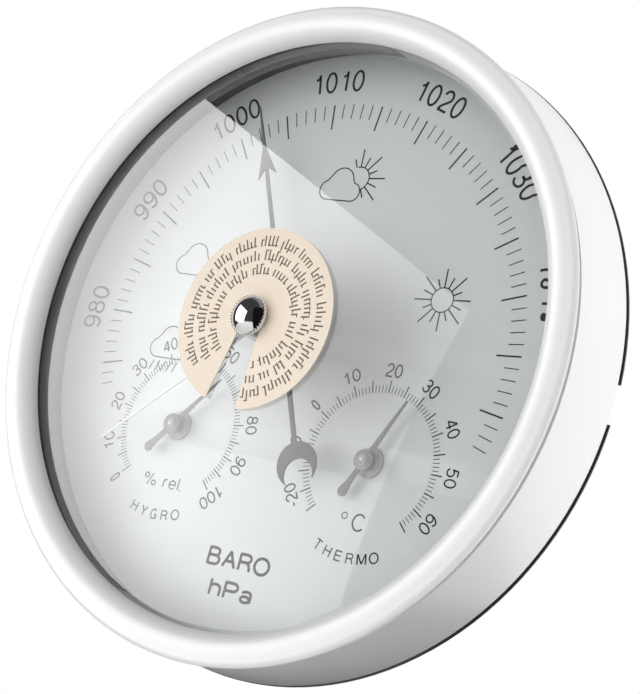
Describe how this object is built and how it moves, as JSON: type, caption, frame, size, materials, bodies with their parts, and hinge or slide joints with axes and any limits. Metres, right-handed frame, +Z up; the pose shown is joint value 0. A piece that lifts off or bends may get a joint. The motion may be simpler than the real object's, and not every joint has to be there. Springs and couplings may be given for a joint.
{
  "type": "aneroid barometer",
  "caption": "Round wall barometer in a silvery case with a domed glass, a setting hand on a knob, and small thermometer and hygrometer dials in the face.",
  "frame": {"origin": "centre of the back cover's flat back, in the plane of the wall", "axes": "+Z up the wall, -Y out of the wall towards the reader (the dial faces -Y), +X to the reader's right"},
  "size_m": [0.132, 0.0382, 0.132],
  "materials": {
    "case_silver": "satin pearl silver paint",
    "bezel_silver": "satin pearl silver paint",
    "dome_glass": "clear domed glass",
    "gasket_rubber": "black rubber",
    "ring_black": "dark gloss plastic",
    "dial_silver": "satin printed aluminium",
    "cover_black": "black moulded plastic",
    "plated_steel": "zinc-plated steel",
    "tag_card": "cream card",
    "knob_chrome": "polished chrome",
    "turned_brass": "turned brass",
    "hand_grey": "grey painted steel",
    "hand_silver": "bright aluminium",
    "hub_bright": "bright nickel plate",
    "spring_steel": "blued spring steel",
    "capsule_metal": "nickel silver capsule skin",
    "bimetal": "bimetal strip",
    "humidity_strip": "treated paper bonded to a metal strip"
  },
  "bodies": {
    "case": {"case_band": "case_silver", "front_bezel": "bezel_silver", "glass": "dome_glass", "glass_gasket": "gasket_rubber", "inner_ring": "ring_black", "dial_plate": "dial_silver", "rear_cover": "cover_black", "cover_screws": "plated_steel", "hanger_plate": "plated_steel", "hanger_rivets": "plated_steel", "instruction_tag": "tag_card", "glass_bush": "plated_steel", "knob_washer": "plated_steel", "movement_base": "plated_steel", "movement_screws": "plated_steel", "movement_pillars": "turned_brass", "movement_bridge": "turned_brass", "bridge_screws": "plated_steel", "pivot_cock": "turned_brass", "hairspring": "spring_steel", "hairspring_stud": "turned_brass", "capsule_base": "capsule_metal", "spring_post": "turned_brass", "spring_clamp": "turned_brass", "clamp_screws": "plated_steel", "shaft_bracket": "turned_brass", "thermo_bush": "hub_bright", "thermo_frame": "plated_steel", "thermo_coil": "bimetal", "hygro_bush": "hub_bright", "hygro_frame": "plated_steel", "hygro_coil": "humidity_strip"},
    "setting_hand": {"set_knob": "knob_chrome", "set_spindle": "turned_brass", "spring_washer": "spring_steel", "set_hand": "hand_silver"},
    "barometer_pointer": {"pointer": "hand_grey", "pointer_hub": "hand_grey", "pointer_arbor": "plated_steel", "chain_drum": "turned_brass", "hairspring_collet": "turned_brass"},
    "chain_run": {"chain": "plated_steel"},
    "shaft": {"rocking_shaft": "plated_steel"},
    "leaf_spring": {"main_spring": "spring_steel"},
    "capsule_skin": {"capsule_top": "capsule_metal"},
    "thermometer_hand": {"thermo_hand": "hand_grey", "thermo_cap": "hub_bright", "thermo_arbor": "plated_steel"},
    "hygrometer_hand": {"hygro_hand": "hand_grey", "hygro_cap": "hub_bright", "hygro_arbor": "plated_steel"},
    "adjuster": {"adjusting_screw": "turned_brass"}
  },
  "joints": [
    {"name": "set_knob_turn", "type": "hinge", "parent": "case", "child": "setting_hand", "pos_m": [0, -0.032, 0], "axis": [0, 1, 0], "continuous": true},
    {"name": "pressure_reading", "type": "hinge", "parent": "case", "child": "barometer_pointer", "pos_m": [0, -0.02, 0], "axis": [0, 1, 0], "range_deg": [-85, 135], "stiffness_Nm_per_rad": 0.0002},
    {"name": "chain_travel", "type": "slide", "parent": "case", "child": "chain_run", "axis": [-1, 0, 0], "range_m": [-0.0017, 0.0027]},
    {"name": "shaft_rock", "type": "hinge", "parent": "case", "child": "shaft", "pos_m": [0.022, -0.0064, 0], "axis": [0, 0, -1], "range_deg": [-15, 23.5]},
    {"name": "spring_flex", "type": "hinge", "parent": "case", "child": "leaf_spring", "pos_m": [-0.021, -0.00965, 0], "axis": [0, 0, 1], "range_deg": [-1.1, 1.7]},
    {"name": "capsule_squeeze", "type": "slide", "parent": "case", "child": "capsule_skin", "axis": [0, 1, 0], "range_m": [-0.0004, 0.0006]},
    {"name": "temperature_reading", "type": "hinge", "parent": "case", "child": "thermometer_hand", "pos_m": [0.0234, -0.02, -0.0208], "axis": [0, 1, 0], "range_deg": [-160.5, 109.5], "stiffness_Nm_per_rad": 0.00005},
    {"name": "humidity_reading", "type": "hinge", "parent": "case", "child": "hygrometer_hand", "pos_m": [-0.0234, -0.02, -0.0208], "axis": [0, 1, 0], "range_deg": [-175.5, 94.5], "stiffness_Nm_per_rad": 0.00005},
    {"name": "zero_adjust", "type": "hinge", "parent": "case", "child": "adjuster", "pos_m": [-0.021, -0.003, 0], "axis": [0, 1, 0], "range_deg": [-180, 180]}
  ],
  "couplings": [
    {"joint": "chain_travel", "follows": "pressure_reading", "m_per_rad": 0.0011},
    {"joint": "shaft_rock", "follows": "pressure_reading", "ratio": 0.1692},
    {"joint": "spring_flex", "follows": "pressure_reading", "ratio": 0.0119},
    {"joint": "capsule_squeeze", "follows": "pressure_reading", "m_per_rad": 0.00025}
  ]
}
